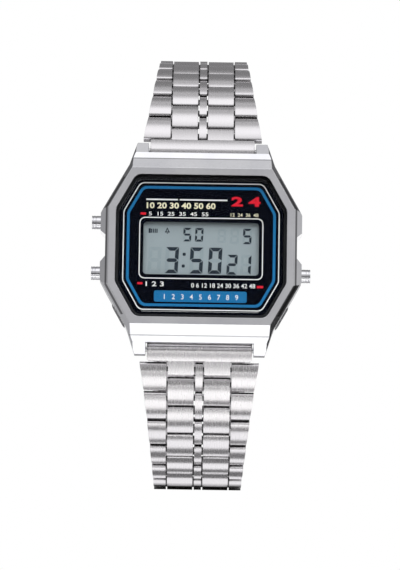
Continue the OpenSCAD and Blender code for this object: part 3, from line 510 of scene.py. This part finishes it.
def smooth(obj, angle):
    """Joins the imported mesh's doubled points and shades it smooth, but for edges past an angle."""
    if "custom_normal" in obj.data.attributes:
        obj.data.attributes.remove(obj.data.attributes["custom_normal"])
    obj.data.polygons.foreach_set("use_smooth", [True] * len(obj.data.polygons))
    weld = obj.modifiers.new("weld", "WELD")
    weld.merge_threshold = WELD_GAP
    split = obj.modifiers.new("split", "EDGE_SPLIT")
    split.split_angle = math.radians(angle)
    split.use_edge_sharp = False


def shorten_springs(joint):
    """Gives each button's spring a mesh of its own; the spring shortens towards its fixed end as the
    button goes in.
    """
    for spring in joint.get("deforming_nodes", ()):
        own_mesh(nodes[spring["node"]])


for part in frame["record"]["subparts"]:
    materials = nodes[part["node"]].data.materials
    materials.clear()
    materials.append(PAINTS[part["material_slot"]])
for name, obj in nodes.items():
    smooth(obj, FACETED_ANGLE if name in FACETED else ROUND_ANGLE)
for joint in frame["record"]["behaviour"]["joints"]:
    shorten_springs(joint)


# ---- what is printed on the dial --------------------------------------------------------
def print_layer(name, ink, sheet, rings=(), bars=(), corner=0.0, numbers=()):
    for outlines in rings:
        sheet.ring(*outlines)
    for bar in bars:
        sheet.bar(*bar, corner)
    for line in numbers:
        sheet.numbers(*line)
    sheet.piece(name, ink, "dial")


print_layer("print_white", WHITE_INK, Sheet(DIAL_TOP), bars=WHITE_BARS, numbers=WHITE_NUMBERS,
            rings=(frame_ring(*WHITE_RING), (window_outline(0), window_outline(WINDOW_LINE))))
print_layer("print_cream", CREAM_INK, Sheet(DIAL_TOP), numbers=CREAM_NUMBERS)
print_layer("print_red", RED_INK, Sheet(DIAL_TOP), bars=RED_MARKS, corner=MARK_CORNER,
            numbers=RED_NUMBERS)
print_layer("print_blue", BLUE_INK, Sheet(DIAL_TOP), rings=(frame_ring(*BLUE_RING),))
print_layer("print_blue_band", BLUE_INK, Sheet(DIAL_TOP - BAND_SINK, BAND_T), bars=(BLUE_BAND,),
            corner=BAND_CORNER)


# ---- the display's figures --------------------------------------------------------------
def segments(x, z, w, h, t):
    """The seven bars of one digit, whose lower left corner is at x, z."""
    m, cut = h / 2, t * CUT + GAP
    bars = {
        "a": [(GAP, h), (w - GAP, h), (w - t - GAP, h - t), (t + GAP, h - t)],
        "b": [(w, h - GAP), (w, m + GAP), (w - t, m + cut), (w - t, h - t - GAP)],
        "c": [(w, m - GAP), (w, GAP), (w - t, t + GAP), (w - t, m - cut)],
        "d": [(t + GAP, t), (w - t - GAP, t), (w - GAP, 0), (GAP, 0)],
        "e": [(0, GAP), (0, m - GAP), (t, m - cut), (t, t + GAP)],
        "f": [(0, m + GAP), (0, h - GAP), (t, h - t - GAP), (t, m + cut)],
        "g": [(t * TIP + GAP, m), (t * SHOULDER + GAP, m + t / 2),
              (w - t * SHOULDER - GAP, m + t / 2), (w - t * TIP - GAP, m),
              (w - t * SHOULDER - GAP, m - t / 2), (t * SHOULDER + GAP, m - t / 2)],
    }
    return {key: [(x + px + SLANT * pz, z + pz) for px, pz in bar] for key, bar in bars.items()}


def display_digits():
    sheet = Sheet(LCD_TOP)
    for figure, *place in DIGITS:
        bars = segments(*place)
        for key in LIT[figure]:
            sheet.shape(bars[key])
    for x, z in COLON:
        sheet.bar(x - DOT_HALF, x + DOT_HALF, z - DOT_HALF, z + DOT_HALF, DOT_CORNER)
    sheet.bar(*FIRST_BAR)
    x0, x1, z0, z1 = NEXT_BARS
    for k in range(1, 5):
        sheet.bar(x0 + BAR_PITCH * k, x1 + BAR_PITCH * k, z0, z1)
    sheet.ring(rounded(BELL, BELL_CORNER, 3), rounded(BELL_HOLE, BELL_HOLE_CORNER, 3))
    sheet.bar(*BELL_CLAPPER)
    sheet.piece("display_digits", DIGIT_INK, "display")


def display_ghosts():
    """The bars that stay pale: all of the unlit digits' and what the lit digits leave."""
    sheet = Sheet(LCD_TOP, GHOST_T)
    for place in UNLIT:
        for bar in segments(*place).values():
            sheet.shape(bar)
    for figure, *place in DIGITS:
        for key, bar in segments(*place).items():
            if key not in LIT[figure]:
                sheet.shape(bar)
    sheet.piece("display_ghosts", GHOST_INK, "display")


display_digits()
display_ghosts()

# ---- sizes and levels of the studio -----------------------------------------------------
FLOOR_HALF, FLOOR_GAP = 2.5, 0.0001    # half width, and how far it stays under the lowest piece
FLOOR_COLOR = (0.90, 0.90, 0.90)
FLOOR_FADE = (0.09, 0.26)              # it turns white between these distances from the case
# Levels of a glow are stops of elevation and brightness on a ramp between two elevations
RAMP_LOW, RAMP_HIGH = -10.0, 180.0
# Sweep: a tunnel from below the floor in front, over the top and down to the back
SWEEP_RADIUS, SWEEP_X, SWEEP_LOW, SWEEP_HIGH, SWEEP_PARTS = 0.55, 0.42, -34.9125, 176, 47
SWEEP_LEVELS = (
    (-8, 0.40), (4, 0.47), (11, 0.49), (15, 0.34), (20, 0.34), (29, 0.98), (46, 1.18), (68, 1.15),
    (77, 0.45), (84, 0.34), (88, 0.66), (92, 0.66), (97, 0.24), (125, 0.22), (150, 0.24),
    (176, 0.45),
)
# Panels on the floor: left edge, right edge, near edge, far edge, lift over the floor, level
PANEL_LIFT, MARK_LIFT = 0.0005, 0.0007
PANELS = {
    "front": (-0.42, 0.42, -0.46, -0.062, PANEL_LIFT, 0.12),
    "back": (-0.42, 0.42, 0.0185, 0.46, PANEL_LIFT, 0.34),
    "near": (-0.06, 0.06, -0.044, -0.027, PANEL_LIFT, 0.36),
    "under_1": (-0.06, 0.06, -0.0065, -0.0015, PANEL_LIFT, 0.16),
    "under_2": (-0.06, 0.06, -0.0015, 0.0045, PANEL_LIFT, 1.1),
    "under_3": (-0.06, 0.06, 0.0045, 0.008, PANEL_LIFT, 0.18),
    "under_4": (-0.06, 0.06, 0.008, 0.0105, PANEL_LIFT, 1.1),
    "under_5": (-0.06, 0.06, 0.0105, 0.013, PANEL_LIFT, 0.18),
    "under_6": (-0.06, 0.06, 0.013, 0.0185, PANEL_LIFT, 1.0),
    "left": (-0.42, -0.045, -0.07, 0.012, PANEL_LIFT, 0.5),
    "right": (0.045, 0.42, -0.07, 0.012, PANEL_LIFT, 0.5),
    "left_mark": (-0.20, -0.055, 0.02, 0.15, MARK_LIFT, 0.40),
    "right_mark": (0.055, 0.20, 0.02, 0.15, MARK_LIFT, 0.04),
}
# Side walls: they start below the floor too
WALL_X, WALL_Y, WALL_FOOT, WALL_TOP = 0.42, 0.56, -0.34, 0.56
WALL_LEVELS = ((-6, 0.30), (8, 0.40), (24, 0.62), (40, 0.90), (60, 0.8))
# Dark cards on each side: azimuth, elevation, distance, width, height, level
CARDS = {
    "card_dark": (62, 5, 0.45, 0.10, 0.30, 0.05),
    "card_dark_back": (136, 29, 0.40, 0.14, 0.20, 0.12),
}
# Each side: name, direction, brightness of its wall
SIDES = (("left", -1, 0.8), ("right", 1, 1.15))
# Lamps: azimuth, elevation, distance, size, watts
LAMPS = {
    "key": (-20, 55, 0.7, 0.5, 3.4),
    "top": (10, 84, 0.6, 0.4, 1.2),
    "fill": (40, 30, 0.7, 0.4, 2.0),
    "back_fill": (165, 12, 0.8, 0.4, 1.0),
}
AMBIENT = 0.55                         # the world's strength for the light on the object
QUAD = [(0, 1, 2, 3)]                  # the one face of a flat sheet


# ---- studio -----------------------------------------------------------------------------
def at(azimuth, elevation, distance):
    """The point in a direction from the case."""
    a, e = math.radians(azimuth), math.radians(elevation)
    return Vector((math.sin(a) * math.cos(e), -math.cos(a) * math.cos(e), math.sin(e))) * distance


def stage_mesh(name, points, faces, material):
    mesh = bpy.data.meshes.new(name)
    mesh.from_pydata(points, [], faces)
    mesh.materials.append(material)
    obj = add_object(name, mesh)
    return obj


def floor_height(pieces, gap):
    """Nodes that move a sheet to just under the lowest point of the pieces, at every pose."""
    standing = bpy.data.collections.new("standing")
    for piece in pieces:
        standing.objects.link(piece)
    tree = bpy.data.node_groups.new("floor_height", "GeometryNodeTree")
    for way in ("INPUT", "OUTPUT"):
        tree.interface.new_socket("Geometry", in_out=way, socket_type="NodeSocketGeometry")
    source, solid, box, split, height, place, sheet, result = (tree.nodes.new(kind) for kind in (
        "GeometryNodeCollectionInfo", "GeometryNodeRealizeInstances", "GeometryNodeBoundBox",
        "ShaderNodeSeparateXYZ", "ShaderNodeCombineXYZ", "GeometryNodeTransform",
        "NodeGroupInput", "NodeGroupOutput"))
    source.transform_space = "RELATIVE"
    source.inputs["Collection"].default_value = standing
    for start, end in (
        (source.outputs["Instances"], solid.inputs["Geometry"]),
        (solid.outputs["Geometry"], box.inputs["Geometry"]),
        (box.outputs["Min"], split.inputs[0]),
        (math_node(tree, "SUBTRACT", split.outputs["Z"], gap), height.inputs["Z"]),
        (height.outputs[0], place.inputs["Translation"]),
        (sheet.outputs[0], place.inputs["Geometry"]),
        (place.outputs[0], result.inputs[0]),
    ):
        tree.links.new(start, end)
    return tree


FLOOR_TREE = floor_height(nodes.values(), FLOOR_GAP)


def on_floor(name, x0, x1, y0, y1, lift, material):
    """A flat sheet that stays with the floor, raised by lift."""
    points = [(x, y, lift) for x, y in rectangle(x0, x1, y0, y1)]
    obj = stage_mesh(name, points, QUAD, material)
    obj.modifiers.new("floor_height", "NODES").node_group = FLOOR_TREE
    return obj


def paper():
    """The floor: pale, with the object's shadow, white further out and clear from below."""
    p = Paint("floor_paper", FLOOR_COLOR, roughness=0.6, Specular_IOR_Level=0.2)
    p.cloudy(FLOOR_COLOR, 0.02, 0.985, 1)
    place = p.node("ShaderNodeNewGeometry")
    far = p.node("ShaderNodeVectorMath", operation="LENGTH")
    p.link(place.outputs["Position"], far.inputs[0])
    faded = p.spread(far.outputs["Value"], 0, 1, FLOOR_FADE)
    whiter = p.math("MULTIPLY", faded, backdrop_rays(p.tree))
    white, clear = p.node("ShaderNodeEmission"), p.node("ShaderNodeBsdfTransparent")
    seen = mix_shaders(p.tree, whiter, p.shader.outputs[0], white.outputs[0])
    p.surface(mix_shaders(p.tree, place.outputs["Backfacing"], seen, clear.outputs[0]))
    return p.material


def glow(name, levels, sideways=False):
    """A glow that changes with the elevation, from the front over the top or from each side."""
    material = bpy.data.materials.new(name)
    material.use_nodes = True
    tree = material.node_tree
    tree.nodes.clear()
    split, place = tree.nodes.new("ShaderNodeSeparateXYZ"), tree.nodes.new("ShaderNodeNewGeometry")
    tree.links.new(place.outputs["Position"], split.inputs[0])
    if sideways:
        away = math_node(tree, "ABSOLUTE", split.outputs["X"])
    else:
        away = math_node(tree, "MULTIPLY", split.outputs["Y"], -1)
    angle = math_node(tree, "ARCTAN2", split.outputs["Z"], away)
    ramp = tree.nodes.new("ShaderNodeValToRGB")
    stops = ramp.color_ramp.elements
    stops.remove(stops[1])
    for i, (degrees, level) in enumerate(levels):
        along = (degrees - RAMP_LOW) / (RAMP_HIGH - RAMP_LOW)
        stop = stops.new(along) if i else stops[0]
        stop.position = along
        stop.color = (level, level, level * 1.02, 1)
    ends = math.radians(RAMP_LOW), math.radians(RAMP_HIGH)
    tree.links.new(map_range(tree, angle, ends, (0, 1)), ramp.inputs["Fac"])
    emission, out = tree.nodes.new("ShaderNodeEmission"), tree.nodes.new("ShaderNodeOutputMaterial")
    tree.links.new(ramp.outputs["Color"], emission.inputs["Color"])
    tree.links.new(emission.outputs[0], out.inputs["Surface"])
    return material


def even_glow(name, level):
    """A glow of one level."""
    return glow(name, ((RAMP_LOW, level), (RAMP_HIGH, level)))


def reflection_only(obj):
    obj.visible_camera = obj.visible_diffuse = obj.visible_shadow = False


def sweep():
    """Part of a tunnel round the object's left-right axis, lit in bands of elevation."""
    step = (SWEEP_HIGH - SWEEP_LOW) / SWEEP_PARTS
    turns = [math.radians(SWEEP_LOW + step * i) for i in range(SWEEP_PARTS + 1)]
    points = [(x, -SWEEP_RADIUS * math.cos(t), SWEEP_RADIUS * math.sin(t))
              for t in turns for x in (-SWEEP_X, SWEEP_X)]
    faces = [(2 * i, 2 * i + 1, 2 * i + 3, 2 * i + 2) for i in range(SWEEP_PARTS)]
    reflection_only(stage_mesh("sweep", points, faces, glow("sweep", SWEEP_LEVELS)))


def card(name, azimuth, elevation, distance, w, h, level):
    """A grey card that only reflections see. It faces the object from a direction."""
    out, a = at(azimuth, elevation, 1), math.radians(azimuth)
    side = Vector((math.cos(a), math.sin(a), 0))
    up = side.cross(out)
    points = [out * distance + side * (sx * w) + up * (sz * h)
              for sx, sz in rectangle(-0.5, 0.5, -0.5, 0.5)]
    reflection_only(stage_mesh(name, points, QUAD, even_glow(name, level)))


def wall(name, direction, part):
    """A side wall that only reflections see."""
    points = [(direction * WALL_X, y, z)
              for y, z in rectangle(-WALL_Y, WALL_Y, WALL_FOOT, WALL_TOP)]
    levels = [(degrees, level * part) for degrees, level in WALL_LEVELS]
    reflection_only(stage_mesh(name, points, QUAD, glow(name, levels, sideways=True)))


def softbox(name, azimuth, elevation, distance, size, watts):
    """A lamp that lights the object but isn't seen in it: the sweep gives the reflections."""
    lamp = bpy.data.lights.new(name, "AREA")
    lamp.shape, lamp.size, lamp.energy = "SQUARE", size, watts
    obj = add_object(name, lamp)
    obj.location = at(azimuth, elevation, distance)
    obj.rotation_mode = "QUATERNION"
    obj.rotation_quaternion = obj.location.to_track_quat("Z", "Y")
    obj.visible_camera = obj.visible_glossy = False


def white_world():
    """White for the rays that see the backdrop, and dimmer as light on the object."""
    world = bpy.data.worlds.new("studio")
    bpy.context.scene.world = world
    world.use_nodes = True
    tree = world.node_tree
    extra = math_node(tree, "MULTIPLY", backdrop_rays(tree), 1 - AMBIENT)
    back = tree.nodes["Background"]
    back.inputs["Color"].default_value = (1, 1, 1, 1)
    tree.links.new(math_node(tree, "ADD", extra, AMBIENT), back.inputs["Strength"])


on_floor("floor", -FLOOR_HALF, FLOOR_HALF, -FLOOR_HALF, FLOOR_HALF, 0, paper())
sweep()
for name, (*place, level) in PANELS.items():
    reflection_only(on_floor("panel_" + name, *place, even_glow("panel_" + name, level)))
for name, direction, part in SIDES:
    wall("wall_" + name, direction, part)
    for kind, (azimuth, *rest) in CARDS.items():
        card(kind + "_" + name, direction * azimuth, *rest)
for name, settings in LAMPS.items():
    softbox(name, *settings)
white_world()

# ---- camera -----------------------------------------------------------------------------
PX = 0.168 * MM                        # size of a pixel of the photo at the case
IMAGE_H = 570
CAM_AZIMUTH, CAM_ELEVATION, CAM_ROLL = 0.0, -8.0, 0.9
LENS, SENSOR = 200.0, 36.0
LOOK_HEIGHT = 3.45 * MM                # height of the case's middle over the case back
LOOK_DROP, LOOK_SIDE = 35 * PX, 1.0 * PX    # how far it lies above and right of the image's middle


def place_camera():
    cam = bpy.data.cameras.new("camera")
    cam.lens, cam.sensor_width = LENS, SENSOR
    cam.clip_start, cam.clip_end = 0.01, 20
    obj = add_object("camera", cam)
    toward = at(CAM_AZIMUTH, CAM_ELEVATION, 1)
    roll = Matrix.Rotation(math.radians(CAM_ROLL), 3, "Z").to_quaternion()
    turn = toward.to_track_quat("Z", "Y") @ roll
    up, side = turn @ Vector((0, 1, 0)), turn @ Vector((1, 0, 0))
    distance = IMAGE_H * PX * LENS / SENSOR
    obj.rotation_mode = "QUATERNION"
    obj.rotation_quaternion = turn
    target = Vector((0, -LOOK_HEIGHT, 0)) - up * LOOK_DROP - side * LOOK_SIDE
    obj.location = target + toward * distance
    bpy.context.scene.camera = obj


place_camera()
bpy.context.scene.view_settings.view_transform = "Standard"
